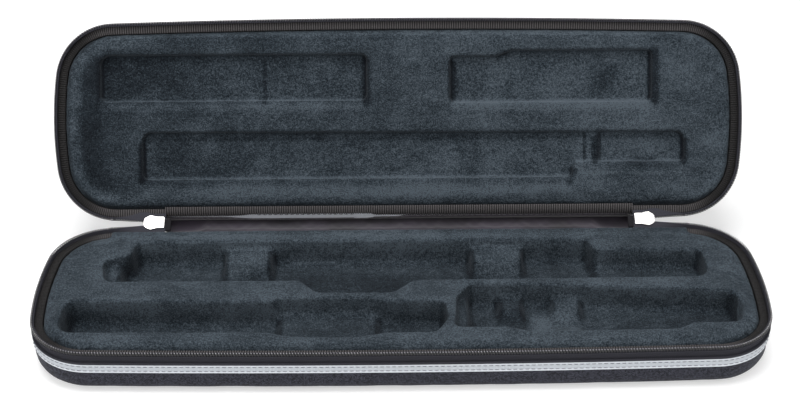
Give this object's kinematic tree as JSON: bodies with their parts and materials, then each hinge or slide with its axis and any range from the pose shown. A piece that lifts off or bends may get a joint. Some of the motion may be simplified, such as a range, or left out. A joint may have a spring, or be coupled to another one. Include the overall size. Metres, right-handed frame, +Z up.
{
  "type": "flute case",
  "caption": "Semi-rigid zipped case, shown open, with a plush tray that holds the joints of a flute and a hinged, padded lid.",
  "frame": {"origin": "middle of the underside of the base, as it lies open", "axes": "+X along the case, +Y towards the hinge, +Z up"},
  "size_m": [0.42, 0.2092, 0.1355],
  "materials": {
    "shell_board": "pressed foam board",
    "nylon": "woven, slightly lustrous",
    "foam": "matte foam",
    "plush": "short-pile plush",
    "ribbed_binding": "ribbed woven tape",
    "zip_cloth": "woven tape",
    "zip_nylon": "satin nylon coil",
    "reflective_band": "satin reflective band",
    "hinge_cloth": "satin cloth",
    "nickel": "polished nickel"
  },
  "bodies": {
    "base": {"base_shell": "shell_board", "base_cover": "nylon", "base_insert": "foam", "base_lining": "plush", "base_binding": "ribbed_binding", "base_zip_tape": "zip_cloth", "base_zip_coil": "zip_nylon", "base_stripe": "reflective_band", "hinge_strip": "hinge_cloth", "zip_tail_left": "zip_cloth", "zip_tail_right": "zip_cloth"},
    "lid": {"lid_shell": "shell_board", "lid_cover": "nylon", "lid_insert": "foam", "lid_lining": "plush", "lid_binding": "ribbed_binding", "lid_zip_tape": "zip_cloth", "lid_zip_coil": "zip_nylon", "lid_stripe": "reflective_band"},
    "zip_end_left": {"zip_end_left": "zip_cloth"},
    "zip_end_right": {"zip_end_right": "zip_cloth"},
    "slider_left": {"slider_left": "nickel"},
    "slider_right": {"slider_right": "nickel"},
    "pull_left": {"pull_left": "nickel"},
    "pull_right": {"pull_right": "nickel"}
  },
  "joints": [
    {"name": "lid_hinge", "type": "hinge", "parent": "base", "child": "lid", "pos_m": [0, 0.06325, 0.0286], "axis": [-1, 0, 0], "range_deg": [-120.8, 59.2], "deforming": ["hinge_strip", "zip_tail_left", "zip_tail_right"]},
    {"name": "zip_end_left_fold", "type": "hinge", "parent": "base", "child": "zip_end_left", "pos_m": [0, 0.06325, 0.0286], "axis": [-1, 0, 0], "range_deg": [-60.4, 29.6]},
    {"name": "slider_left_run", "type": "slide", "parent": "zip_end_left", "child": "slider_left", "axis": [-1, 0, 0], "range_m": [0, 0.02]},
    {"name": "pull_left_swing", "type": "hinge", "parent": "slider_left", "child": "pull_left", "pos_m": [-0.1484, 0.0649, 0.02569], "axis": [0, 0.8695, 0.4939], "range_deg": [-85, 85]},
    {"name": "zip_end_right_fold", "type": "hinge", "parent": "base", "child": "zip_end_right", "pos_m": [0, 0.06325, 0.0286], "axis": [-1, 0, 0], "range_deg": [-60.4, 29.6]},
    {"name": "slider_right_run", "type": "slide", "parent": "zip_end_right", "child": "slider_right", "axis": [1, 0, 0], "range_m": [0, 0.02]},
    {"name": "pull_right_swing", "type": "hinge", "parent": "slider_right", "child": "pull_right", "pos_m": [0.1484, 0.0649, 0.02569], "axis": [0, 0.8695, 0.4939], "range_deg": [-85, 85]}
  ],
  "couplings": [
    {"joint": "zip_end_left_fold", "follows": "lid_hinge", "ratio": 0.5},
    {"joint": "zip_end_right_fold", "follows": "lid_hinge", "ratio": 0.5}
  ]
}
